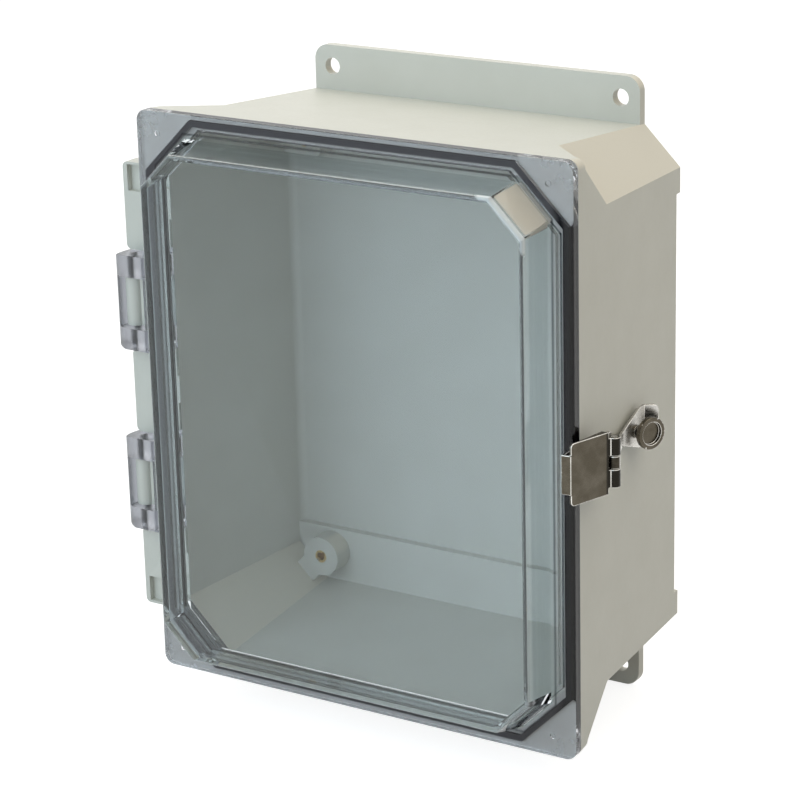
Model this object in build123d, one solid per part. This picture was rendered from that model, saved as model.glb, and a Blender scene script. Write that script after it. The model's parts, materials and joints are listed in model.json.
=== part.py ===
# Wall-mounted fibreglass enclosure with a hinged clear cover, in millimetres.
# Origin: centre of the four wall holes on the back plane. +X right seen from the front,
# +Y into the wall, +Z up, so the cover faces -Y.
import os
from math import cos, hypot, radians, sin, sqrt, tan

from build123d import *

# How far cutters run past a face and joined shapes run into each other
spare = 1.0

# Moulded body
rim_half_w = 111.0
rim_half_h = 134.2
rim_corner_r = 5.0
body_depth = 107.0
rim_band = 7.0
side_draft = 4.0
end_draft = 5.3
shoulder_depth = 28.0
corner_cut_rim = 5.0
corner_cut_shoulder = 22.8
corner_cut_back = 17.8

# Cavity
wall_at_rim = 7.0
wall_at_back = 5.2
back_wall = 4.0
foot_height = 4.0
foot_end_inset = 39.2
band_step = 1.5
band_height = 4.0
cavity_cut_rim = 24.5
cavity_cut_shoulder = 22.0
cavity_cut_back = 16.0
cavity_floor_r = 4.0

# Mounting flanges
hole_pitch_x = 152.4
hole_beyond_rim = 1.8
hole_r = 4.0
flange_edge = 9.6
flange_top_margin = 10.0
flange_thick = 4.6
flange_corner_r = 7.0

# Panel bosses and their brass inserts
boss_side_inset = 31.6
boss_end_inset = 29.4
boss_r = 9.8
boss_height = 11.0
boss_web_w = 11.8
insert_r = 3.2
insert_len = 9.5
insert_wall = 1.1
insert_floor = 1.0
insert_slot_w = 1.2
insert_slot_depth = 1.0
insert_slot_angle = 45.0

# Clear cover
cover_thick = 5.0
cover_edge_r = 1.0
window_rise = 17.8
window_side_inset = 13.8
window_end_inset = 14.3
window_cut = 16.0
window_base_cut = 14.8
window_side_draft = 6.5
window_end_draft = 11.0
window_wall = 3.0
hollow_base_cut = 16.6
window_edge_r = 1.2
lip_gap = 1.0
lip_thick = 2.0
lip_depth = 4.0
dimple_r = 1.3
dimple_depth = 0.8
dimple_side_inset = 11.5
dimple_end_inset = 10.0

# Gasket
gasket_w = 2.8
gasket_thick = 2.6
gasket_inset = 2.8
gasket_cut = 25.1

# Cover hinges
hinge_mid_z = -1.5
hinge_pitch = 88.0
hinge_pin_x = 11.5
hinge_pin_r = 1.6
pin_clearance = 0.05
pin_recess = 1.5
knuckle_wall = 3.0
knuckle_gap = 0.35
knuckle_web = 4.0
loop_wall = 3.35
loop_height = 45.0
loop_taper = 2.0
loop_window = 24.5
loop_bar_back = 5.0

# Guard rib beside the hinges
rib_reach = 13.5
rib_gap = 1.0
rib_thick = 8.0
rib_end_inset = 26.6
rib_loop_gap = 1.5
rib_corner_r = 2.5
rib_pocket_len = 13.5
rib_pocket_depth = 3.0
rib_lip = 2.4
rib_notch_w = 3.4

# Draw latch, placed along the right wall from the rim and out from the wall
latch_z = 1.4
latch_pin_r = 1.25
lever_w = 5.6
lever_side_gap = 0.25
ear_thick = 1.5
ear_wall = 1.05
base_thick = 1.0
base_len = 30.0
base_edge = 1.75
base_start = 1.0
base_corner_r = 2.0
base_pin_along = 5.7
base_pin_out = 4.0
draw_pin_along = 11.8
draw_pin_out = 10.8
lever_knuckle_wall = 1.25
lever_sheet = 1.5
neck_along = 38.0
neck_out = 2.0
flare_along = 56.0
flare_out = 2.6
flare_w = 18.5
tab_foot_along = 60.5
tab_foot_out = 2.8
tab_tip_along = 64.0
tab_tip_out = 8.6
tab_corner_r = 2.5
disc_r = 7.3
disc_thick = 2.6
disc_edge_r = 0.6
disc_dish_r = 5.2
disc_dish_depth = 1.6
disc_along = 54.1
disc_over_tail = 7.3
disc_drop = 1.3
disc_tilt = 26.0
disc_stem_r = 3.0
hook_sheet = 1.2
hook_h = 28.0
hook_corner_r = 2.0
hook_front_over = 7.0
hook_front_out = 1.2
hook_rear_gap = 3.4
hook_rear_drop = 1.6
hook_barrel_inset = 2.8
hook_barrel_wall = 1.35
hook_lip_reach = 3.4
hook_lip_inset = 5.2
hook_lip_gap = 0.3
hook_side_lip = 3.0
rivet_r = 2.0
rivet_head_r = 3.4
rivet_head_h = 1.1
rivet_end_gap = 4.5
rivet_pitch = 9.6
washer_edge = 1.0
washer_thick = 1.0
seat_gap = 0.1

# Worked-out places
seal_y = -body_depth
cover_front_y = seal_y - cover_thick
window_front_y = cover_front_y - window_rise
cavity_back_y = -(foot_height + back_wall)
shoulder_y = seal_y + shoulder_depth
foot_edge_z = rim_half_h - foot_end_inset
hole_pitch_z = 2 * (rim_half_h + hole_beyond_rim)
flange_half_w = hole_pitch_x / 2 + flange_edge
flange_half_h = hole_pitch_z / 2 + flange_top_margin
hole_places = [(sx * hole_pitch_x / 2, sz * hole_pitch_z / 2) for sx in (-1, 1) for sz in (-1, 1)]
boss_pitch_x = 2 * (rim_half_w - boss_side_inset)
boss_pitch_z = 2 * (rim_half_h - boss_end_inset)
boss_face_y = cavity_back_y - band_height - boss_height
corner_signs = [(sx, sz) for sx in (-1, 1) for sz in (-1, 1)]
window_half_w = rim_half_w - window_side_inset
window_half_h = rim_half_h - window_end_inset
knuckle_r = hinge_pin_r + knuckle_wall
loop_r = knuckle_r + knuckle_gap + loop_wall
hinge_x = -(rim_half_w + hinge_pin_x)
hinge_y = cover_front_y + loop_r
hinge_zs = (hinge_mid_z + hinge_pitch / 2, hinge_mid_z - hinge_pitch / 2)
lever_slot_w = lever_w + 2 * lever_side_gap
base_w = lever_slot_w + 2 * (ear_thick + base_edge)
base_end = base_start + base_len
hook_barrel_len = hook_h - 2 * hook_barrel_inset
disc_out = flare_out + disc_over_tail
rivet_along = (base_end - rivet_end_gap - rivet_pitch, base_end - rivet_end_gap)


def facing(y):
    """Plane across the box at depth y: local x is X, local y is Z, normal towards the front."""
    return Plane(origin=(0, y, 0), x_dir=(1, 0, 0), z_dir=(0, -1, 0))


def octagon(y, half_w, half_h, cut):
    """Rectangle with cut corners at depth y."""
    points = [
        (half_w, -half_h + cut), (half_w, half_h - cut),
        (half_w - cut, half_h), (-half_w + cut, half_h),
        (-half_w, half_h - cut), (-half_w, -half_h + cut),
        (-half_w + cut, -half_h), (half_w - cut, -half_h),
    ]
    return facing(y) * Polygon(*points, align=None)


def cut_shift(offset):
    """How much longer a 45 degree corner cut gets when its outline grows by an offset."""
    return offset * (2 - sqrt(2))


def block(x0, x1, y0, y1, z0, z1):
    """Rectangular block between two corners."""
    return Pos((x0 + x1) / 2, (y0 + y1) / 2, (z0 + z1) / 2) * Box(abs(x1 - x0), abs(y1 - y0), abs(z1 - z0))


def upright(x, y, radius, z0, z1):
    """Cylinder along Z between two heights."""
    return Pos(x, y, (z0 + z1) / 2) * Cylinder(radius, z1 - z0)


def across(x, z, radius, y0, y1):
    """Cylinder along Y between two depths."""
    return Pos(x, (y0 + y1) / 2, z) * Rot(90, 0, 0) * Cylinder(radius, abs(y1 - y0))


def outer_half(y):
    """Half width and half height of the drafted outside at depth y."""
    run = y - seal_y
    return rim_half_w - run * tan(radians(side_draft)), rim_half_h - run * tan(radians(end_draft))


def inner_half(y):
    """Half width and half height of the cavity at depth y."""
    share = (y - seal_y) / (cavity_back_y - seal_y)
    wall = wall_at_rim + (wall_at_back - wall_at_rim) * share
    half_w, half_h = outer_half(y)
    return half_w - wall, half_h - wall


def body_outside():
    """Rim band, the shoulder where the square corners are cut, and the drafted tub behind it."""
    band_y = seal_y + rim_band
    rim_faces = []
    for y in (seal_y, band_y):
        half_w, half_h = outer_half(y)
        rim_faces.append(facing(y) * RectangleRounded(2 * half_w, 2 * half_h, rim_corner_r))
    shape = loft(rim_faces, ruled=True)
    stations = [(band_y, corner_cut_rim), (shoulder_y, corner_cut_shoulder), (0, corner_cut_back)]
    for (y0, cut0), (y1, cut1) in zip(stations, stations[1:]):
        shape += loft([octagon(y0, *outer_half(y0), cut0), octagon(y1, *outer_half(y1), cut1)], ruled=True)
    return shape


def cavity():
    """Space inside the box, around the raised bands and the panel bosses."""
    tub = loft([octagon(shoulder_y, *inner_half(shoulder_y), cavity_cut_shoulder),
                octagon(cavity_back_y, *inner_half(cavity_back_y), cavity_cut_back)], ruled=True)
    tub = fillet(tub.faces().sort_by(Axis.Y)[-1].edges(), cavity_floor_r)
    mouth = loft([octagon(seal_y, *inner_half(seal_y), cavity_cut_rim),
                  octagon(shoulder_y, *inner_half(shoulder_y), cavity_cut_shoulder)], ruled=True)
    space = tub + mouth
    band_edge_z = foot_edge_z - band_step
    for side in (-1, 1):
        space -= block(-rim_half_w, rim_half_w, cavity_back_y - band_height, 0,
                       side * band_edge_z, side * rim_half_h)
    for sx, sz in corner_signs:
        space -= panel_boss(sx, sz)
    return space


def panel_boss(sx, sz):
    """Round boss with a web that runs from it into the corner of the tub."""
    x, z = sx * boss_pitch_x / 2, sz * boss_pitch_z / 2
    web = Rot(0, -45 * sx * sz, 0) * Box(2 * sqrt(2) * boss_r, boss_height, boss_web_w)
    web = Pos(x + sx * boss_r, boss_face_y + boss_height / 2, z + sz * boss_r) * web
    return across(x, z, boss_r, boss_face_y, 0) + web


def wall_flange(side):
    """Flange above or below the tub with its two wall holes."""
    root_z = side * (outer_half(0)[1] - 2 * wall_at_back)
    plate = block(-flange_half_w, flange_half_w, -flange_thick, 0, root_z, side * flange_half_h)
    ends = plate.edges().filter_by(Axis.Y).group_by(Axis.Z)[-1 if side > 0 else 0]
    return fillet(ends, flange_corner_r)


def hinge_rib():
    """Guard rib down the hinge side, in three lengths so that the cover's hinge loops can turn."""
    front_y = seal_y + rib_gap
    x0 = -(rim_half_w + rib_reach)
    x1 = -(rim_half_w - wall_at_rim / 2)
    end_z = rim_half_h - rib_end_inset
    half = loop_height / 2 + rib_loop_gap
    upper_z, lower_z = hinge_zs
    pocket_back = front_y + rib_pocket_depth
    rib = None
    for z0, z1 in ((upper_z + half, end_z), (lower_z + half, upper_z - half), (-end_z, lower_z - half)):
        length = block(x0, x1, front_y, front_y + rib_thick, z0, z1)
        outer_corners = length.edges().filter_by(Axis.Y).group_by(Axis.X)[0]
        length = fillet(outer_corners, rib_corner_r)
        for edge_z, inward in ((z0, 1), (z1, -1)):
            far_z = edge_z + inward * rib_pocket_len
            if abs(edge_z) == end_z:
                length -= block(x0 + rib_lip, -rim_half_w, front_y - spare, pocket_back,
                                edge_z + inward * rib_lip / 2, far_z)
            else:
                length -= block(-rim_half_w - rib_notch_w, -rim_half_w, front_y - spare, pocket_back,
                                edge_z - inward * spare, far_z)
        rib = length if rib is None else rib + length
    return rib


def hinge_knuckle(z):
    """Bored body knuckle inside one cover loop, with the web that carries it."""
    half = loop_window / 2 - knuckle_gap
    knuckle = upright(hinge_x, hinge_y, knuckle_r, z - half, z + half)
    web_x = -(outer_half(hinge_y)[0] - wall_at_rim / 2)
    knuckle += block(hinge_x, web_x, hinge_y - knuckle_web / 2, hinge_y + knuckle_web / 2, z - half, z + half)
    bore_r = hinge_pin_r + pin_clearance
    return knuckle - upright(hinge_x, hinge_y, bore_r, z - half - spare, z + half + spare)


def wall_out_dir():
    """Direction straight out of the latch wall."""
    return cos(radians(side_draft)), sin(radians(side_draft)), 0


def wall_back_dir():
    """Direction back along the latch wall."""
    return -sin(radians(side_draft)), cos(radians(side_draft)), 0


def wall_place(along, out, rise=0.0):
    """Point on the latch side: distance back along the wall, out from it, and height."""
    ox, oy, _ = wall_out_dir()
    bx, by, _ = wall_back_dir()
    return rim_half_w + along * bx + out * ox, seal_y + along * by + out * oy, latch_z + rise


def on_wall(along, out, rise=0.0):
    """Section plane of the latch: local x runs back along the wall and local y out of it."""
    return Plane(origin=wall_place(along, out, rise), x_dir=wall_back_dir(), z_dir=(0, 0, -1))


def wall_post(along, rise, radius, out0, out1):
    """Cylinder square to the latch wall between two distances from it."""
    plane = Plane(origin=wall_place(along, out0, rise), x_dir=(0, 0, 1), z_dir=wall_out_dir())
    return extrude(plane * Circle(radius), out1 - out0)


def strip(points, width, rise=0.0):
    """Closed outline in the latch's section, extruded over a height about the latch's middle."""
    outline = on_wall(0, 0, rise + width / 2) * Polygon(*points, align=None)
    return extrude(outline, width, dir=(0, 0, -1))


def bar(p0, p1, thick, width, rise=0.0):
    """Straight sheet between two section points, given by its middle line."""
    dx, dy = p1[0] - p0[0], p1[1] - p0[1]
    size = hypot(dx, dy)
    nx, ny = -dy / size * thick / 2, dx / size * thick / 2
    points = [(p0[0] + nx, p0[1] + ny), (p1[0] + nx, p1[1] + ny),
              (p1[0] - nx, p1[1] - ny), (p0[0] - nx, p0[1] - ny)]
    return strip(points, width, rise)


def pivot(along, out, radius, width, rise=0.0):
    """Upright round at a section point, centred on a height."""
    x, y, z = wall_place(along, out, rise)
    return upright(x, y, radius, z - width / 2, z + width / 2)


def make_body():
    shape = body_outside() - cavity()
    shape -= block(-rim_half_w, rim_half_w, -foot_height, spare, -foot_edge_z, foot_edge_z)
    for side in (-1, 1):
        shape += wall_flange(side)
    shape += hinge_rib()
    for z in hinge_zs:
        shape += hinge_knuckle(z)
    for x, z in hole_places:
        shape -= across(x, z, hole_r, -2 * flange_thick, spare)
    for sx, sz in corner_signs:
        shape -= across(sx * boss_pitch_x / 2, sz * boss_pitch_z / 2, insert_r,
                        boss_face_y, boss_face_y + insert_len)
    for along in rivet_along:
        shape -= wall_post(along, 0, rivet_r, -2 * wall_at_rim, spare)
    return shape


def make_inserts():
    """Four slotted brass inserts, flush with the boss faces."""
    solids = []
    back_y = boss_face_y + insert_len
    for sx, sz in corner_signs:
        x, z = sx * boss_pitch_x / 2, sz * boss_pitch_z / 2
        insert = across(x, z, insert_r, boss_face_y, back_y)
        insert -= across(x, z, insert_r - insert_wall, boss_face_y - spare, back_y - insert_floor)
        slot = Rot(0, -insert_slot_angle, 0) * Box(3 * insert_r, 2 * insert_slot_depth, insert_slot_w)
        solids.append(insert - Pos(x, boss_face_y, z) * slot)
    return Compound(children=solids)


def gasket_ring():
    """Ring along the rim, an equal distance inside it and round its cut corners."""
    outer = octagon(seal_y, rim_half_w - gasket_inset, rim_half_h - gasket_inset, gasket_cut)
    inset = gasket_inset + gasket_w
    inner = octagon(seal_y, rim_half_w - inset, rim_half_h - inset, gasket_cut - cut_shift(gasket_w))
    return extrude(outer, gasket_thick) - extrude(inner, gasket_thick)


def window_shell():
    """Raised window as its outside and its hollow, both drafted octagonal domes."""
    outside = loft([window_outline(cover_front_y, 0, window_base_cut),
                    window_outline(window_front_y, 0, window_cut)], ruled=True)
    outside = fillet(outside.faces().sort_by(Axis.Y)[0].edges(), window_edge_r)
    hollow_cut = window_cut - cut_shift(window_wall)
    inside = loft([window_outline(seal_y, window_wall, hollow_base_cut),
                   window_outline(window_front_y + window_wall, window_wall, hollow_cut)], ruled=True)
    return outside, inside


def locating_lip():
    """Ring on the cover's back that drops into the mouth of the box, with a gap all round."""
    half_w, half_h = inner_half(seal_y)
    rings = []
    for inset in (lip_gap, lip_gap + lip_thick):
        outline = octagon(seal_y, half_w - inset, half_h - inset, cavity_cut_rim - cut_shift(inset))
        rings.append(extrude(outline, -lip_depth))
    return rings[0] - rings[1]


def window_outline(y, inset, cut):
    """Octagon of the drafted window at depth y, less an inset, with its own corner cut."""
    run = y - window_front_y
    half_w = window_half_w + run * tan(radians(window_side_draft)) - inset
    half_h = window_half_h + run * tan(radians(window_end_draft)) - inset
    return octagon(y, half_w, half_h, cut)


def hinge_loop(z):
    """Cover loop: a round-backed frame that links round one body knuckle."""
    half = loop_height / 2
    tip = hinge_x - loop_r
    loop = upright(hinge_x, hinge_y, loop_r, z - half, z + half)
    loop += block(hinge_x, spare - rim_half_w, cover_front_y, seal_y, z - half, z + half)
    for side in (-1, 1):
        corner = Plane.XZ * Polygon((tip - spare, z + side * (half + spare)),
                                    (hinge_x + 2 * spare, z + side * (half + spare)),
                                    (tip - spare, z + side * (half - loop_taper)), align=None)
        loop -= Pos(0, hinge_y, 0) * extrude(corner, 2 * loop_r, both=True)
    opening = loop_window / 2
    back_y = hinge_y + 2 * loop_r
    loop -= block(hinge_x - knuckle_r - knuckle_gap, -rim_half_w - spare, cover_front_y - spare, back_y,
                  z - opening, z + opening)
    loop -= block(tip - spare, hinge_x, hinge_y + loop_bar_back, back_y, z - opening, z + opening)
    return loop


def make_cover():
    outline = facing(seal_y) * RectangleRounded(2 * rim_half_w, 2 * rim_half_h, rim_corner_r)
    plate = extrude(outline, cover_thick)
    plate = fillet(plate.faces().sort_by(Axis.Y)[0].edges(), cover_edge_r)
    outside, inside = window_shell()
    shape = plate + outside - inside + locating_lip()
    shape -= gasket_ring()
    for z in hinge_zs:
        shape += hinge_loop(z)
        shape -= upright(hinge_x, hinge_y, hinge_pin_r, z - loop_height, z + loop_height)
    for sx, sz in corner_signs:
        shape -= across(sx * (rim_half_w - dimple_side_inset), sz * (rim_half_h - dimple_end_inset),
                        dimple_r, cover_front_y - spare, cover_front_y + dimple_depth)
    return shape


def make_hinge_pin(z):
    half = loop_height / 2 - pin_recess
    return upright(hinge_x, hinge_y, hinge_pin_r, z - half, z + half)


def make_latch_base():
    """Riveted base plate with two ears for the lever's pin."""
    base = strip([(base_start, 0), (base_end, 0), (base_end, base_thick), (base_start, base_thick)], base_w)
    base = fillet(base.edges().filter_by(Axis((0, 0, 0), wall_out_dir())), base_corner_r)
    ear_r = latch_pin_r + ear_wall
    for side in (-1, 1):
        rise = side * (lever_slot_w + ear_thick) / 2
        base += pivot(base_pin_along, base_pin_out, ear_r, ear_thick, rise)
        base += strip([(base_pin_along - ear_r, 0), (base_pin_along + ear_r, 0),
                       (base_pin_along + ear_r, base_pin_out), (base_pin_along - ear_r, base_pin_out)],
                      ear_thick, rise)
    base -= pivot(base_pin_along, base_pin_out, latch_pin_r, 2 * base_w)
    for along in rivet_along:
        base -= wall_post(along, 0, rivet_r, -spare, base_thick + spare)
    return base


def make_base_pin():
    return pivot(base_pin_along, base_pin_out, latch_pin_r, lever_slot_w + 2 * ear_thick)


def washer_inner_out(along):
    """Where a sealing washer's inner face lies, as a distance out from the latch wall."""
    y = wall_place(along, 0)[1]
    wall = (outer_half(y)[0] - inner_half(y)[0]) * cos(radians(side_draft))
    return -wall - seat_gap - washer_thick


def make_rivets():
    """Two rivets through the wall, headed on both sides."""
    solids = []
    for along in rivet_along:
        inner = washer_inner_out(along)
        rivet = wall_post(along, 0, rivet_r, inner - rivet_head_h, base_thick + rivet_head_h)
        rivet += wall_post(along, 0, rivet_head_r, base_thick, base_thick + rivet_head_h)
        rivet += wall_post(along, 0, rivet_head_r, inner - rivet_head_h, inner)
        solids.append(rivet)
    return Compound(children=solids)


def make_washers():
    """Two sealing washers between the rivets' inner heads and the wall."""
    solids = []
    for along in rivet_along:
        inner = washer_inner_out(along)
        washer = wall_post(along, 0, rivet_head_r + washer_edge, inner, inner + washer_thick)
        bore = wall_post(along, 0, rivet_r + pin_clearance, inner - spare, inner + washer_thick + spare)
        solids.append(washer - bore)
    return Compound(children=solids)


def make_lever():
    """Draw lever: two knuckles, a narrow neck, a flared tail and a finger tab bent out of it."""
    base_pin = (base_pin_along, base_pin_out)
    draw_pin = (draw_pin_along, draw_pin_out)
    neck = (neck_along, neck_out)
    knuckle_r = latch_pin_r + lever_knuckle_wall
    lever = pivot(*base_pin, knuckle_r, lever_w) + pivot(*draw_pin, knuckle_r, lever_w)
    elbow = (draw_pin_along, base_pin_out)
    lever += pivot(*elbow, lever_sheet, lever_w)
    lever += bar(base_pin, elbow, 2 * lever_sheet, lever_w) + bar(elbow, draw_pin, 2 * lever_sheet, lever_w)
    lever += bar(draw_pin, neck, lever_sheet, lever_w)
    lever += pivot(*neck, lever_sheet / 2, lever_w)
    lever += lever_tail(neck)
    for pin in (base_pin, draw_pin):
        lever -= pivot(*pin, latch_pin_r + pin_clearance, 2 * lever_w)
    return lever


def lever_tail(neck):
    """Sheet that flares out from the neck, with the finger tab bent up at its end."""
    flare = (flare_along, flare_out)
    foot = (tab_foot_along, tab_foot_out)
    tip = (tab_tip_along, tab_tip_out)
    tab = bar(foot, tip, lever_sheet, flare_w)
    tip_point = wall_place(*tip)
    across_edges = [edge for edge in tab.edges() if edge.length < 2 * lever_sheet]
    tip_edges = ShapeList(across_edges).sort_by_distance(tip_point)[:2]
    tab = fillet(tip_edges, tab_corner_r)
    tail = bar(neck, flare, lever_sheet, flare_w) + bar(flare, foot, lever_sheet, flare_w) + tab
    for bend in (flare, foot):
        tail += pivot(*bend, lever_sheet / 2, flare_w)
    plane = Plane(origin=wall_place(neck_along, 0), x_dir=wall_back_dir(), z_dir=wall_out_dir())
    run = flare_along - neck_along
    for side in (-1, 1):
        wedge = plane * Polygon((-spare, side * lever_w / 2), (0, side * lever_w / 2),
                                (run, side * flare_w / 2), (run, side * flare_w),
                                (-spare, side * flare_w), align=None)
        tail -= extrude(wedge, tab_tip_out, dir=plane.z_dir)
    return tail


def make_thumb_disc():
    """Dished round pad on the lever's tail, tilted towards the front."""
    tilt = radians(side_draft - disc_tilt)
    middle = wall_place(disc_along, disc_out, -disc_drop)
    face = Plane(origin=middle, x_dir=(0, 0, 1), z_dir=(cos(tilt), sin(tilt), 0))
    disc = extrude(face * Circle(disc_r), -disc_thick)
    disc = fillet(disc.edges().filter_by(GeomType.CIRCLE), disc_edge_r)
    stem_foot = flare_out + lever_sheet / 2 + seat_gap
    disc += wall_post(disc_along, -disc_drop, disc_stem_r, stem_foot, disc_out - disc_thick / 2)
    return disc - extrude(face * Circle(disc_dish_r), disc_dish_depth, both=True)


def make_hook():
    """Hook plate: barrels on the draw pin, sloping plate, side lips and the catch lip."""
    draw_pin = (draw_pin_along, draw_pin_out)
    front = (-(cover_thick + hook_front_over), hook_front_out)
    rear = (draw_pin_along - hook_rear_gap, draw_pin_out - hook_rear_drop)
    hook = bar(front, rear, hook_sheet, hook_h)
    across_edges = [edge for edge in hook.edges() if edge.length < 2 * hook_sheet]
    front_edges = ShapeList(across_edges).sort_by_distance(wall_place(*front))[:2]
    hook = fillet(front_edges, hook_corner_r)
    share = hook_corner_r / hypot(rear[0] - front[0], rear[1] - front[1])
    lip_start = (front[0] + share * (rear[0] - front[0]), front[1] + share * (rear[1] - front[1]))
    barrel_len = (hook_barrel_len - lever_slot_w) / 2
    for side in (-1, 1):
        rise = side * (lever_slot_w + barrel_len) / 2
        hook += pivot(*draw_pin, latch_pin_r + hook_barrel_wall, barrel_len, rise)
        hook += bar(rear, draw_pin, hook_sheet, barrel_len, rise)
        lip_rise = side * (hook_h - hook_sheet) / 2
        hook += strip([lip_start, rear, (rear[0], rear[1] - hook_side_lip)], hook_sheet, lip_rise)
    lip_h = hook_h - 2 * hook_lip_inset
    lip_end = (front[0], front[1] - hook_lip_reach)
    toe = (-(cover_thick + hook_lip_gap), lip_end[1])
    hook += bar((front[0], front[1] + hook_sheet / 2), lip_end, hook_sheet, lip_h)
    hook += bar((lip_end[0] - hook_sheet / 2, lip_end[1]), toe, hook_sheet, lip_h)
    return hook - pivot(*draw_pin, latch_pin_r, 2 * hook_barrel_len)


def make_draw_pin():
    return pivot(draw_pin_along, draw_pin_out, latch_pin_r, hook_barrel_len)


parts = {
    "enclosure_body": make_body(),
    "panel_inserts": make_inserts(),
    "window_cover": make_cover(),
    "cover_gasket": gasket_ring(),
    "upper_hinge_pin": make_hinge_pin(hinge_zs[0]),
    "lower_hinge_pin": make_hinge_pin(hinge_zs[1]),
    "latch_base": make_latch_base(),
    "latch_base_pin": make_base_pin(),
    "latch_rivets": make_rivets(),
    "latch_washers": make_washers(),
    "latch_lever": make_lever(),
    "lever_thumb_disc": make_thumb_disc(),
    "latch_draw_pin": make_draw_pin(),
    "latch_hook": make_hook(),
}

os.makedirs("parts", exist_ok=True)
for name, shape in parts.items():
    export_step(shape, os.path.join("parts", name + ".step"))
    size = shape.bounding_box().size
    print(f"{name:18s} {len(shape.solids())} solids {shape.volume:11.1f} mm3 "
          f"{size.X:6.1f} {size.Y:6.1f} {size.Z:6.1f}")
base_pin_x, base_pin_y, _ = wall_place(base_pin_along, base_pin_out)
draw_pin_x, draw_pin_y, _ = wall_place(draw_pin_along, draw_pin_out)
print(f"cover axis {hinge_x:.3f} {hinge_y:.3f}")
print(f"lever axis {base_pin_x:.3f} {base_pin_y:.3f}, hook axis {draw_pin_x:.3f} {draw_pin_y:.3f}")
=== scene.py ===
import json
import math

import bmesh
import bpy
from mathutils import Matrix, Vector


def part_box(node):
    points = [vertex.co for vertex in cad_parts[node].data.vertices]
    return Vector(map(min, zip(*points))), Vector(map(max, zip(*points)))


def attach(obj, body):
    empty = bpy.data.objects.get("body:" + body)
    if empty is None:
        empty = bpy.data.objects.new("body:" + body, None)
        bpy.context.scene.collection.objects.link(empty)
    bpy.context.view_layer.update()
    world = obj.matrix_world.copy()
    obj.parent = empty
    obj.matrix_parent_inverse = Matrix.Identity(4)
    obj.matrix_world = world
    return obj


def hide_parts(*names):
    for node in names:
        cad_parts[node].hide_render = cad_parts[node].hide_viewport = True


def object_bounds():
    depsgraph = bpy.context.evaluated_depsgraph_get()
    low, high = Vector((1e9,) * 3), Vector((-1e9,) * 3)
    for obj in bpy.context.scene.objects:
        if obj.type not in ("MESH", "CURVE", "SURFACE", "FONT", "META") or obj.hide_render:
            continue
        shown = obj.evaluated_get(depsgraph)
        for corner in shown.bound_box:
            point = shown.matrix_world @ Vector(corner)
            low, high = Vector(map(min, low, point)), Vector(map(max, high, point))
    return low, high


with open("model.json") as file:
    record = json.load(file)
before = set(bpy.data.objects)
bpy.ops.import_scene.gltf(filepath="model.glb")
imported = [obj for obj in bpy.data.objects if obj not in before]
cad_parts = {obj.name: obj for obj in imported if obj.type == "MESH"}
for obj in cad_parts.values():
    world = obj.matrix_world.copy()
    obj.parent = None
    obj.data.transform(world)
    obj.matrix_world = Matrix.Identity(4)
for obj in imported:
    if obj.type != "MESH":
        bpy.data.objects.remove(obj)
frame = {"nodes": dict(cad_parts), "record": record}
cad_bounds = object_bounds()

MM = 0.001

# The photograph's camera: where it stands in the part's frame, where it looks, and its lens
CAMERA_PLACE = (0.6692, -1.1219, 0.4220)
CAMERA_YAW = math.radians(32.532)
CAMERA_PITCH = math.radians(18.600)
CAMERA_ROLL = math.radians(-1.461)
CAMERA_LENS = 130.99
SENSOR_WIDTH = 36.0
CLIP_START = 0.01
CLIP_END = 100.0

# Studio: a white floor that keeps the shadow, a soft fill and five softboxes
FLOOR_DROP = 1.0 * MM
FLOOR_SIZE = 30.0
FLOOR_GLOW = 0.86
FLOOR_SEEN = 0.45
FLOOR_BOUNCE = 0.55
FILL = 0.30
FILL_COLOUR = (1.0, 0.985, 0.93)
TOP_LIGHT = (1.0, 0.985, 0.92)
FRONT_LIGHT = (0.70, 0.88, 1.0)
SIDE_LIGHT = (1.0, 0.93, 0.78)
LAMP_AIM = (0.0, -0.06, 0.0)
SOFTBOXES = (
    {"name": "top_softbox", "place": (0.1, -0.05, 1.6), "size": 1.2, "watts": 5.4, "colour": TOP_LIGHT},
    {"name": "back_left_softbox", "place": (-0.9, 0.8, 1.1), "size": 1.0, "watts": 6.2, "colour": TOP_LIGHT},
    {"name": "right_softbox", "place": (0.9, 0.1, 1.2), "size": 1.2, "watts": 5.4, "colour": SIDE_LIGHT},
    {"name": "left_softbox", "place": (-0.8, -1.3, 1.1), "size": 1.0, "watts": 8.4, "colour": FRONT_LIGHT},
    {"name": "front_softbox", "place": (-0.2, -1.9, 0.4), "size": 1.2, "watts": 11.8, "colour": FRONT_LIGHT},
)

# Bounces, enough for the rays that wander inside the cover's edges
MAX_BOUNCES = 24
TRANSMISSION_BOUNCES = 20
TRANSPARENT_BOUNCES = 16

# Edge roundings of the moulded and stamped pieces, and how their meshes are cleaned for them
BODY_EDGE = 0.7 * MM
LATCH_EDGE = 0.30 * MM
DISC_EDGE = 0.25 * MM
EDGE_SEGMENTS = 2
NO_ROUNDING = 0.0
BACK_GAP = 0.1 * MM
EDGE_ANGLE = math.radians(24.0)
FLAT_ANGLE = math.radians(0.4)
WELD = 0.02 * MM
LATCH_WELD = 0.1 * MM
EDGE_ROOM = 2.2

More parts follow.
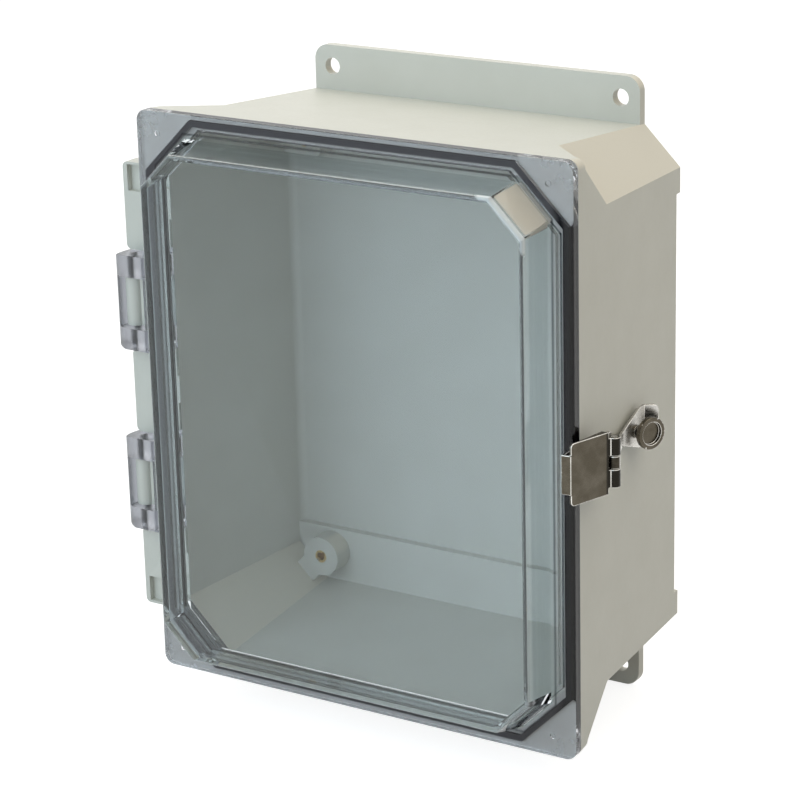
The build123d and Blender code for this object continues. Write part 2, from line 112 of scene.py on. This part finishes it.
# Colours, linear
FIBREGLASS = (0.640, 0.632, 0.570)
FIBREGLASS_LIGHT = (0.665, 0.657, 0.597)
# Painted light: the warm colour of faces that turn up and to the right
CHAMFER_PAINTED_LIGHT = (0.790, 0.750, 0.650)
CLEAR_TINT = (0.865, 0.905, 0.920)
LAMP_TINT = (0.560, 0.525, 0.545)
FLANGE_TINT = (0.800, 0.800, 0.825)
LOOP_TINT = (0.340, 0.355, 0.390)
# Painted shade of the dark lines round the window's foot and along the locating lip
CREASE_PAINTED_SHADE = (0.140, 0.150, 0.160)
# Painted reflection: the warm bright colour of the window's upper right facet
FACET_PAINTED_GLINT = (0.930, 0.850, 0.740)
GASKET_BLACK = (0.014, 0.015, 0.019)
GASKET_WORN = (0.030, 0.032, 0.040)
# Painted light: the grey given to the black foam away from the latch side
GASKET_PAINTED_LIGHT = (0.420, 0.420, 0.410)
TUMBLED = (0.080, 0.069, 0.051)
TUMBLED_LIGHT = (0.115, 0.101, 0.079)
# Painted shade on the hook's knuckles and on the lever
KNUCKLE_PAINTED_SHADE = (0.022, 0.020, 0.016)
# Painted light on the lever's tail
LEVER_PAINTED_LIGHT = (0.560, 0.545, 0.515)
# Painted highlights on the latch pieces' rounded edges
EDGE_PAINTED_HIGHLIGHT = (0.800, 0.780, 0.740)
EDGE_PAINTED_HIGHLIGHT_DULL = (0.500, 0.480, 0.440)
STEEL = (0.420, 0.410, 0.390)
STEEL_BRIGHT = (0.560, 0.550, 0.530)
BRASS = (0.780, 0.600, 0.260)
BRASS_DEEP = (0.620, 0.440, 0.170)
RUBBER_BLACK = (0.020, 0.020, 0.022)
RUBBER_GREY = (0.036, 0.036, 0.040)

# The part of a noise's range that shows, in gloss and in each kind of colour
GLOSS_BAND = (0.3, 0.7)
GRAIN_BAND = (0.4, 0.7)
MOTTLE_BAND = (0.35, 0.7)
FOAM_BAND = (0.35, 0.65)
SMUDGE_BAND = (0.4, 0.65)

# Sum of a normal's X and Z at which a face counts as one of the body's chamfers and gets painted light
CHAMFER_SLOPE = (1.15, 1.35)

# The cover's rings, as distances in from its rim, and how much their corners are cut
WINDOW_BASE = {"side": 11.8 * MM, "end": 10.8 * MM, "cut": 14.8 * MM}
WINDOW_FRONT = {"side": 13.6 * MM, "end": 14.2 * MM, "cut": 16.5 * MM}
LIP_OUTSIDE = {"side": 8.0 * MM, "end": 8.0 * MM, "cut": 23.9 * MM}
FLANGE_THICK = 5.0 * MM

# Painted shade lines in the creases: how far outside the window's foot one runs, and the half widths from
# faint to full
CREASE_OUT = 2.1 * MM
CREASE_HALF = (0.9 * MM, 0.27 * MM)
CREASE_DEPTH = (1.0 * MM, 0.5 * MM)
LIP_LINE_HALF = (0.6 * MM, 0.3 * MM)
LIP_LINE_DEPTH = (0.0, 0.3 * MM)

# Moulding marks in the cover's corners, by the distance to the corner, and the start of the hinge loops
CORNER_MARKS = (19.0 * MM, 17.0 * MM)
CORNER_TIP = (12.0 * MM, 7.0 * MM)
FLANGE_START = (0.0, 1.0 * MM)
LOOP_START = (0.2 * MM, 1.0 * MM)

# The facet at the window's upper right corner, where a bright reflection is painted, by X + Z and X - Z, and
# its hazy front edges
UPPER_RIGHT = 199.0 * MM
FACET_STEP = 0.8 * MM
FACET_FOOT = 0.3 * MM
FACET_MIDDLE = 23.2 * MM
FACET_HALF = (15.2 * MM, 14.4 * MM)
FACET_DEPTH = (2.6 * MM, 3.6 * MM)
FACET_HAZE = 0.42
EDGE_BAND = (-1.6 * MM, -0.9 * MM)
EDGE_DEPTH = (2.6 * MM, 1.8 * MM)
EDGE_HAZE_START = (-5.0 * MM, -3.0 * MM)
EDGE_HAZE = (0.15, 0.65)
COVER_IOR = 1.36

# How far in from the gasket's latch side its black ends and its painted light grey begins, and where the
# painted shade of the hook's knuckles and the painted light of the lever's tail begin
GASKET_GREYING = (4.0 * MM, 10.0 * MM)
HOOK_KNUCKLES = 8.0 * MM
LEVER_KNUCKLE = 3.0 * MM
KNUCKLE_STEP = 1.0 * MM


def camera_axes():
    """The camera's right, up and back directions."""
    yaw, pitch, roll = CAMERA_YAW, CAMERA_PITCH, CAMERA_ROLL
    back = Vector((math.sin(yaw) * math.cos(pitch), -math.cos(yaw) * math.cos(pitch), math.sin(pitch)))
    right = Vector((math.cos(yaw), math.sin(yaw), 0.0))
    up = back.cross(right)
    rolled_right = right * math.cos(roll) + up * math.sin(roll)
    rolled_up = up * math.cos(roll) - right * math.sin(roll)
    return rolled_right, rolled_up, back


def make_camera():
    """Camera at the photograph's place and angle."""
    data = bpy.data.cameras.new("photo_camera")
    data.lens = CAMERA_LENS
    data.sensor_width = SENSOR_WIDTH
    data.clip_start = CLIP_START
    data.clip_end = CLIP_END
    camera = bpy.data.objects.new("photo_camera", data)
    bpy.context.scene.collection.objects.link(camera)
    axes = Matrix(camera_axes()).transposed().to_4x4()
    camera.matrix_world = Matrix.Translation(CAMERA_PLACE) @ axes
    bpy.context.scene.camera = camera


def make_softbox(name, place, size, watts, colour):
    """Square soft light that looks at the part."""
    data = bpy.data.lights.new(name, "AREA")
    data.size = size
    data.energy = watts
    data.color = colour
    lamp = bpy.data.objects.new(name, data)
    bpy.context.scene.collection.objects.link(lamp)
    lamp.location = place
    lamp.rotation_euler = (Vector(LAMP_AIM) - Vector(place)).to_track_quat("-Z", "Y").to_euler()
    lamp.visible_camera = False


def new_node(tree, kind, inputs=None):
    """New node, with some of its inputs set by name."""
    node = tree.nodes.new(kind)
    for name, value in (inputs or {}).items():
        node.inputs[name].default_value = value
    return node


def math_node(tree, operation, *values):
    """Result of a Math node on sockets or plain numbers."""
    node = tree.nodes.new("ShaderNodeMath")
    node.operation = operation
    for socket, value in zip(node.inputs, values):
        if isinstance(value, (int, float)):
            socket.default_value = value
        else:
            tree.links.new(value, socket)
    return node.outputs[0]


def two_shaders(tree, kind, first, second, factor=None):
    """Result of a node that joins two shaders: a sum, or a mix by a factor."""
    node = tree.nodes.new(kind)
    if factor is not None:
        tree.links.new(factor, node.inputs[0])
    tree.links.new(first.outputs[0], node.inputs[-2])
    tree.links.new(second.outputs[0], node.inputs[-1])
    return node


def seen_directly(tree):
    """Socket that is 1 for rays that show the background: from the camera, in gloss and through glass.

    A ray that has lit a matt surface before it meets the glass is left out, or it would add light.
    """
    path = tree.nodes.new("ShaderNodeLightPath").outputs
    seen = path["Is Camera Ray"]
    for name in ("Is Glossy Ray", "Is Transmission Ray"):
        seen = math_node(tree, "MAXIMUM", seen, path[name])
    undiffused = math_node(tree, "LESS_THAN", path["Diffuse Depth"], 0.5)
    return math_node(tree, "MULTIPLY", seen, undiffused)


def opaque(colour):
    """Colour with the fourth value that Blender's sockets hold."""
    return (*colour, 1.0)


def grey(value):
    """Grey of one value, as Blender's sockets hold it."""
    return opaque((value, value, value))


def make_world():
    """Soft studio fill, and white where the background itself is seen."""
    world = bpy.data.worlds.new("studio")
    world.use_nodes = True
    bpy.context.scene.world = world
    tree = world.node_tree
    tree.nodes.clear()
    out = tree.nodes.new("ShaderNodeOutputWorld")
    soft = new_node(tree, "ShaderNodeBackground", {"Color": opaque(FILL_COLOUR), "Strength": FILL})
    white = new_node(tree, "ShaderNodeBackground", {"Color": grey(1.0), "Strength": 1.0})
    mix = two_shaders(tree, "ShaderNodeMixShader", soft, white, seen_directly(tree))
    tree.links.new(mix.outputs[0], out.inputs["Surface"])


def make_floor(level):
    """Floor that is seen as white with the part's soft shadow, and bounces less light than it shows."""
    bpy.ops.mesh.primitive_plane_add(size=FLOOR_SIZE, location=(0.0, 0.0, level))
    floor = bpy.context.object
    floor.name = "floor"
    material = bpy.data.materials.new("pale_floor")
    material.use_nodes = True
    tree = material.node_tree
    tree.nodes.clear()
    out = tree.nodes.new("ShaderNodeOutputMaterial")
    bounce = new_node(tree, "ShaderNodeBsdfDiffuse", {"Color": grey(FLOOR_BOUNCE)})
    shown = new_node(tree, "ShaderNodeBsdfDiffuse", {"Color": grey(FLOOR_SEEN)})
    glow = new_node(tree, "ShaderNodeEmission", {"Color": grey(1.0), "Strength": FLOOR_GLOW})
    lit = two_shaders(tree, "ShaderNodeAddShader", shown, glow)
    mix = two_shaders(tree, "ShaderNodeMixShader", bounce, lit, seen_directly(tree))
    tree.links.new(mix.outputs[0], out.inputs["Surface"])
    floor.data.materials.append(material)


class Shader:
    """A material with one Principled shader, and short calls for the nodes that feed it."""

    def __init__(self, name):
        self.material = bpy.data.materials.new(name)
        self.material.use_nodes = True
        self.tree = self.material.node_tree
        self.principled = self.tree.nodes["Principled BSDF"]
        self.coords = self.tree.nodes.new("ShaderNodeTexCoord").outputs

    def set(self, **values):
        """Sets the Principled shader's own plain values."""
        for name, value in values.items():
            self.principled.inputs[name.replace("_", " ")].default_value = value

    def feed(self, name, socket):
        """Links a socket to one of the Principled shader's inputs."""
        self.tree.links.new(socket, self.principled.inputs[name])

    def noise(self, per_metre, detail=3.0, stretch=(1.0, 1.0, 1.0)):
        """Noise of so many cells to the metre, stretched along the axes."""
        mapping = new_node(self.tree, "ShaderNodeMapping", {"Scale": stretch})
        self.tree.links.new(self.coords["Object"], mapping.inputs["Vector"])
        noise = new_node(self.tree, "ShaderNodeTexNoise", {"Scale": per_metre, "Detail": detail})
        self.tree.links.new(mapping.outputs[0], noise.inputs["Vector"])
        return noise.outputs["Fac"]

    def axis(self, letter, source="Object"):
        """One object coordinate in metres, or one part of the normal."""
        split = self.tree.nodes.new("ShaderNodeSeparateXYZ")
        self.tree.links.new(self.coords[source], split.inputs[0])
        return split.outputs[letter]

    def math(self, operation, *values):
        """Result of a Math node on sockets or plain numbers."""
        return math_node(self.tree, operation, *values)

    def product(self, first, *others):
        """Product of two or more sockets or numbers."""
        for other in others:
            first = self.math("MULTIPLY", first, other)
        return first

    def size(self, socket):
        """A socket's value without its sign."""
        return self.math("ABSOLUTE", socket)

    def ramp(self, value, low, high, start=0.0, end=1.0):
        """Linear step of a value from start to end, between low and high."""
        span = {"From Min": low, "From Max": high, "To Min": start, "To Max": end}
        node = new_node(self.tree, "ShaderNodeMapRange", span)
        self.tree.links.new(value, node.inputs["Value"])
        return node.outputs["Result"]

    def blend(self, factor, first, second):
        """Colour between two colours by a factor."""
        node = self.tree.nodes.new("ShaderNodeMix")
        node.data_type = "RGBA"
        self.tree.links.new(factor, node.inputs[0])
        for socket, colour in ((node.inputs[6], first), (node.inputs[7], second)):
            if isinstance(colour, tuple):
                socket.default_value = opaque(colour)
            else:
                self.tree.links.new(colour, socket)
        return node.outputs[2]

    def bump(self, height, strength, distance):
        """Bumps the surface by a height."""
        node = new_node(self.tree, "ShaderNodeBump", {"Strength": strength, "Distance": distance})
        self.tree.links.new(height, node.inputs["Height"])
        self.feed("Normal", node.outputs[0])

    def lamps_pass(self, colour):
        """Lets lamps shine through, tinted, while every other ray meets the real surface."""
        path = self.tree.nodes.new("ShaderNodeLightPath").outputs
        through = new_node(self.tree, "ShaderNodeBsdfTransparent", {"Color": opaque(colour)})
        mix = two_shaders(self.tree, "ShaderNodeMixShader", self.principled, through, path["Is Shadow Ray"])
        self.tree.links.new(mix.outputs[0], self.tree.nodes["Material Output"].inputs["Surface"])


def make_fibreglass():
    """Moulded glass-filled polyester: pale grey, faintly mottled, a fine satin skin, painted light on the
    chamfers.
    """
    shader = Shader("moulded_fibreglass")
    mottle = shader.noise(45.0, detail=4.0)
    fibre = shader.noise(900.0, detail=2.0, stretch=(1.0, 0.5, 0.35))
    colour = shader.blend(shader.ramp(mottle, *MOTTLE_BAND), FIBREGLASS, FIBREGLASS_LIGHT)
    # Painted light on the faces that turn up and to the right, by their normal
    slope = shader.math("ADD", shader.axis("X", "Normal"), shader.axis("Z", "Normal"))
    shader.feed("Base Color", shader.blend(shader.ramp(slope, *CHAMFER_SLOPE), colour, CHAMFER_PAINTED_LIGHT))
    shader.feed("Roughness", shader.ramp(fibre, *GLOSS_BAND, start=0.40, end=0.50))
    shader.bump(fibre, strength=0.10, distance=0.04 * MM)
    return shader.material


def outside_ring(shader, ring):
    """Distance outwards from one of the cover's cut-cornered rings, negative inside it."""
    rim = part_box("window_cover")[1]
    half_w = rim[0] - ring["side"]
    half_h = rim[2] - ring["end"]
    size_x, size_z = shader.size(shader.axis("X")), shader.size(shader.axis("Z"))
    past_side = shader.math("SUBTRACT", size_x, half_w)
    past_end = shader.math("SUBTRACT", size_z, half_h)
    past_corner = shader.math("SUBTRACT", shader.math("ADD", size_x, size_z), half_w + half_h - ring["cut"])
    past_corner = shader.product(past_corner, math.sqrt(0.5))
    return shader.math("MAXIMUM", shader.math("MAXIMUM", past_side, past_end), past_corner)


def painted_crease_shade(shader, past_window):
    """Factor of the painted shade lines round the window's foot and along the outside of the locating lip.
    """
    back_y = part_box("cover_gasket")[1][1]
    front_y = back_y - FLANGE_THICK
    off_crease = shader.size(shader.math("SUBTRACT", past_window, CREASE_OUT))
    on_front = shader.ramp(shader.axis("Y"), front_y + CREASE_DEPTH[0], front_y + CREASE_DEPTH[1])
    crease = shader.product(shader.ramp(off_crease, *CREASE_HALF), on_front)
    off_lip = shader.size(outside_ring(shader, LIP_OUTSIDE))
    behind = shader.ramp(shader.axis("Y"), back_y + LIP_LINE_DEPTH[0], back_y + LIP_LINE_DEPTH[1])
    lip = shader.product(shader.ramp(off_lip, *LIP_LINE_HALF), behind)
    return shader.math("MAXIMUM", crease, lip)


def painted_glint_facet(shader, past_window, window_y):
    """Factor of the drafted facet at the window's upper right corner, where a bright reflection is painted.
    """
    x, z = shader.axis("X"), shader.axis("Z")
    painted_beyond = shader.ramp(shader.math("ADD", x, z), UPPER_RIGHT - FACET_STEP, UPPER_RIGHT)
    in_window = shader.ramp(past_window, FACET_FOOT, -FACET_FOOT)
    off_middle = shader.size(shader.math("ADD", shader.math("SUBTRACT", x, z), FACET_MIDDLE))
    along = shader.ramp(off_middle, *FACET_HALF)
    deep = shader.ramp(shader.axis("Y"), window_y + FACET_DEPTH[0], window_y + FACET_DEPTH[1])
    return shader.product(painted_beyond, in_window, along, deep)


def edge_haze(shader, window_y):
    """How much the window's front edges cloud, the most at the upper right."""
    at_front = shader.ramp(shader.axis("Y"), window_y + EDGE_DEPTH[0], window_y + EDGE_DEPTH[1])
    edge = shader.product(shader.ramp(outside_ring(shader, WINDOW_FRONT), *EDGE_BAND), at_front)
    diagonal = shader.math("ADD", shader.axis("X"), shader.axis("Z"))
    low, high = (UPPER_RIGHT + step for step in EDGE_HAZE_START)
    return shader.product(edge, shader.ramp(diagonal, low, high, *EDGE_HAZE))


def make_clear_plastic():
    """Clear polycarbonate: bright window, grey-blue flange with moulding marks, frosted hinge loops, painted
    shade lines and a painted bright reflection.
    """
    shader = Shader("clear_cover")
    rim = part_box("window_cover")[1]
    window_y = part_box("window_cover")[0][1]
    past_window = outside_ring(shader, WINDOW_BASE)
    flange = shader.ramp(past_window, *FLANGE_START)
    reach = shader.math("ADD", shader.size(shader.axis("X")), shader.size(shader.axis("Z")))
    to_corner = shader.math("SUBTRACT", rim[0] + rim[2], reach)
    corner = shader.ramp(to_corner, *CORNER_MARKS)
    tip = shader.ramp(to_corner, *CORNER_TIP)
    loops_start, loops_full = (rim[0] + step for step in LOOP_START)
    loops = shader.ramp(shader.product(shader.axis("X"), -1.0), loops_start, loops_full)
    glint_facet = painted_glint_facet(shader, past_window, window_y)

    # Painted reflection on the window's upper right facet
    tint = shader.blend(glint_facet, shader.blend(flange, CLEAR_TINT, FLANGE_TINT), FACET_PAINTED_GLINT)
    tint = shader.blend(loops, tint, LOOP_TINT)
    # Painted shade: dark lines round the window's foot and along the locating lip, kept off the hinge loops
    dark = shader.product(painted_crease_shade(shader, past_window), shader.math("SUBTRACT", 1.0, loops))
    shader.feed("Base Color", shader.blend(dark, tint, CREASE_PAINTED_SHADE))

    streaks = shader.noise(160.0, detail=3.0, stretch=(1.0, 1.0, 0.25))
    smudges = shader.noise(190.0, detail=2.0)
    ripples = shader.noise(420.0, detail=1.5)
    corner_frost = shader.product(corner, shader.ramp(smudges, *SMUDGE_BAND, start=0.05, end=0.30))
    loop_frost = shader.product(loops, shader.ramp(smudges, *GLOSS_BAND, start=0.32, end=0.42))
    frost = shader.math("MAXIMUM", corner_frost, loop_frost)
    polish = shader.ramp(streaks, *GLOSS_BAND, start=0.010, end=0.030)
    shader.feed("Roughness", shader.math("ADD", polish, frost))
    height = shader.math("ADD", shader.product(tip, ripples), shader.product(streaks, 0.02))
    shader.bump(height, strength=0.6, distance=0.6 * MM)

    haze = shader.math("MAXIMUM", edge_haze(shader, window_y), shader.product(glint_facet, FACET_HAZE))
    shader.feed("Transmission Weight", shader.math("SUBTRACT", 1.0, haze))
    shader.set(IOR=COVER_IOR)
    shader.lamps_pass(LAMP_TINT)
    return shader.material


def make_gasket_foam():
    """Foamed gasket: black on the latch side, painted light grey round the rest."""
    shader = Shader("gasket_foam")
    cells = shader.noise(2500.0, detail=2.0)
    foam = shader.blend(shader.ramp(cells, *FOAM_BAND), GASKET_BLACK, GASKET_WORN)
    latch_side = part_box("cover_gasket")[1][0]
    # Painted light greys the black foam away from the latch side
    painted_light_grey = shader.ramp(shader.axis("X"), latch_side - GASKET_GREYING[0], latch_side - GASKET_GREYING[1])
    shader.feed("Base Color", shader.blend(painted_light_grey, foam, GASKET_PAINTED_LIGHT))
    shader.set(Roughness=0.6)
    shader.bump(cells, strength=0.4, distance=0.1 * MM)
    return shader.material


def make_latch_steel(name, dark, light, painted_beyond=None, beyond_y=0.0):
    """Stamped latch steel with a tumbled finish, and a painted colour beyond a depth if one is given:
    painted shade on the hook's knuckles, painted light on the lever's tail.
    """
    shader = Shader(name)
    grain = shader.noise(1500.0, detail=3.0, stretch=(0.25, 0.25, 1.0))
    clouds = shader.noise(140.0, detail=3.0)
    colour = shader.blend(shader.ramp(clouds, *GRAIN_BAND), dark, light)
    if painted_beyond:
        # Painted shade or light past the given depth, as the caller chooses
        past = shader.ramp(shader.axis("Y"), beyond_y, beyond_y + KNUCKLE_STEP)
        colour = shader.blend(past, colour, painted_beyond)
    shader.feed("Base Color", colour)
    shader.feed("Roughness", shader.ramp(grain, *GLOSS_BAND, start=0.22, end=0.34))
    shader.set(Metallic=1.0)
    shader.bump(grain, strength=0.12, distance=0.02 * MM)
    return shader.material


def make_plain_metal(name, noise, colours, roughness):
    """Bare metal whose colour and gloss vary with one noise."""
    shader = Shader(name)
    grain = shader.noise(**noise)
    shader.feed("Base Color", shader.blend(shader.ramp(grain, *GRAIN_BAND), *colours))
    shader.feed("Roughness", shader.ramp(grain, *GLOSS_BAND, *roughness))
    shader.set(Metallic=1.0)
    return shader.material


def make_pin_steel():
    """Drawn stainless pins, with grain along their length."""
    noise = {"per_metre": 900.0, "detail": 2.0, "stretch": (1.0, 1.0, 0.2)}
    return make_plain_metal("pin_steel", noise, (STEEL, STEEL_BRIGHT), (0.22, 0.36))


def make_brass():
    """Machined brass of the panel inserts."""
    noise = {"per_metre": 2500.0, "detail": 2.0}
    return make_plain_metal("insert_brass", noise, (BRASS, BRASS_DEEP), (0.22, 0.38))


def make_rubber():
    """Moulded rubber of the sealing washers."""
    shader = Shader("washer_rubber")
    grain = shader.noise(1800.0, detail=2.0)
    shader.feed("Base Color", shader.blend(shader.ramp(grain, *GRAIN_BAND), RUBBER_BLACK, RUBBER_GREY))
    shader.set(Roughness=0.7)
    return shader.material


def dress(node, material):
    """Gives a carried-over CAD node its material."""
    data = frame["nodes"][node].data
    data.materials.clear()
    data.materials.append(material)


def solid_copy(node, weld=WELD):
    """The node's shape with its seams welded, ready to be reworked."""
    shape = bmesh.new()
    shape.from_mesh(frame["nodes"][node].data)
    bmesh.ops.remove_doubles(shape, verts=shape.verts, dist=weld)
    return shape


def mark_edges(shape, width, room):
    """Marks the sharp edges: those with room beside them to be rounded, the rest to stay crisp."""
    if width:
        bmesh.ops.dissolve_limit(shape, angle_limit=FLAT_ANGLE, verts=shape.verts, edges=shape.edges)
    rounded = shape.edges.layers.float.new("bevel_weight_edge")
    sharp = [edge for edge in shape.edges if edge.is_manifold and edge.calc_face_angle() > EDGE_ANGLE]
    for edge in sharp:
        nearby = [other for vert in edge.verts for other in vert.link_edges]
        if width and min(other.calc_length() for other in nearby) > room * width:
            edge[rounded] = 1.0
        else:
            edge.smooth = False


def round_edges(piece, width, edge_slot, clamp):
    """Rounds the marked edges, in the last of the piece's materials."""
    bevel = piece.modifiers.new("rounded_edges", "BEVEL")
    bevel.width = width
    bevel.segments = EDGE_SEGMENTS
    bevel.limit_method = "WEIGHT"
    bevel.miter_outer = "MITER_ARC"
    bevel.material = edge_slot
    bevel.use_clamp_overlap = clamp


def place_piece(name, shape, node, materials, width, room=EDGE_ROOM):
    """Puts a reworked shape in its node's place, on the node's body, with the given materials and its edges
    rounded.
    """
    mark_edges(shape, width, room)
    for face in shape.faces:
        face.smooth = True
    mesh = bpy.data.meshes.new(name)
    shape.to_mesh(mesh)
    shape.free()
    # The normals that the solid brought along don't fit the reworked faces
    mesh.attributes.remove(mesh.attributes["custom_normal"])
    for material in materials:
        mesh.materials.append(material)
    piece = bpy.data.objects.new(name, mesh)
    bpy.context.scene.collection.objects.link(piece)
    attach(piece, body_names[node])
    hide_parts(node)
    if width:
        round_edges(piece, width, len(materials) - 1, room > 0.0)
    normals = piece.modifiers.new("flat_faces", "WEIGHTED_NORMAL")
    normals.keep_sharp = True


def make_body():
    """Moulded body with softly rounded edges."""
    place_piece("enclosure_moulding", solid_copy("enclosure_body"), "enclosure_body",
                [slot_materials["moulded_fibreglass"]], BODY_EDGE)


def make_cover():
    """Clear cover, its back set a hair off the rim that it closes on."""
    shape = solid_copy("window_cover")
    back_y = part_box("cover_gasket")[1][1]
    rim_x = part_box("window_cover")[1][0]
    for vert in shape.verts:
        if abs(vert.co.y - back_y) < WELD and vert.co.x > -rim_x:
            vert.co.y -= BACK_GAP
    place_piece("clear_cover_moulding", shape, "window_cover", [slot_materials["clear_cover"]], NO_ROUNDING)


def make_latch():
    """Latch stampings with painted highlights on their rounded edges, painted shade on the hook's knuckles
    and the lever, and painted light on the lever's tail.
    """
    plain = slot_materials["latch_steel"]
    front_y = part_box("latch_hook")[1][1]
    # Painted highlights, given to the rounded edges as their own material
    edge_highlight = make_latch_steel("latch_steel_edge_highlights", EDGE_PAINTED_HIGHLIGHT_DULL, EDGE_PAINTED_HIGHLIGHT)
    hook = make_latch_steel("hook_steel", TUMBLED, TUMBLED_LIGHT, KNUCKLE_PAINTED_SHADE, front_y - HOOK_KNUCKLES)
    lever = make_latch_steel("lever_steel", KNUCKLE_PAINTED_SHADE, TUMBLED, LEVER_PAINTED_LIGHT, front_y - LEVER_KNUCKLE)
    for node, name, material, width in (("latch_hook", "hook_plate", hook, LATCH_EDGE),
                                        ("latch_lever", "draw_lever", lever, LATCH_EDGE),
                                        ("lever_thumb_disc", "thumb_disc", plain, DISC_EDGE),
                                        ("latch_base", "latch_foot", plain, LATCH_EDGE)):
        place_piece(name, solid_copy(node, LATCH_WELD), node, [material, edge_highlight], width, room=0.0)


make_camera()
make_floor(cad_bounds[0][2] - FLOOR_DROP)
make_world()
for row in SOFTBOXES:
    make_softbox(**row)

slot_names = {row["node"]: row["material_slot"] for row in frame["record"]["subparts"]}
bodies = frame["record"]["behaviour"]["bodies"]
body_names = {node: body for body, nodes in bodies.items() for node in nodes}
slot_materials = {
    "moulded_fibreglass": make_fibreglass(),
    "insert_brass": make_brass(),
    "clear_cover": make_clear_plastic(),
    "gasket_foam": make_gasket_foam(),
    "pin_steel": make_pin_steel(),
    "washer_rubber": make_rubber(),
    "latch_steel": make_latch_steel("latch_steel", TUMBLED, TUMBLED_LIGHT),
}
for node_name, slot_name in slot_names.items():
    dress(node_name, slot_materials[slot_name])
make_body()
make_cover()
make_latch()

scene = bpy.context.scene
scene.cycles.max_bounces = MAX_BOUNCES
scene.cycles.transmission_bounces = TRANSMISSION_BOUNCES
scene.cycles.transparent_max_bounces = TRANSPARENT_BOUNCES
scene.view_settings.view_transform = "Standard"
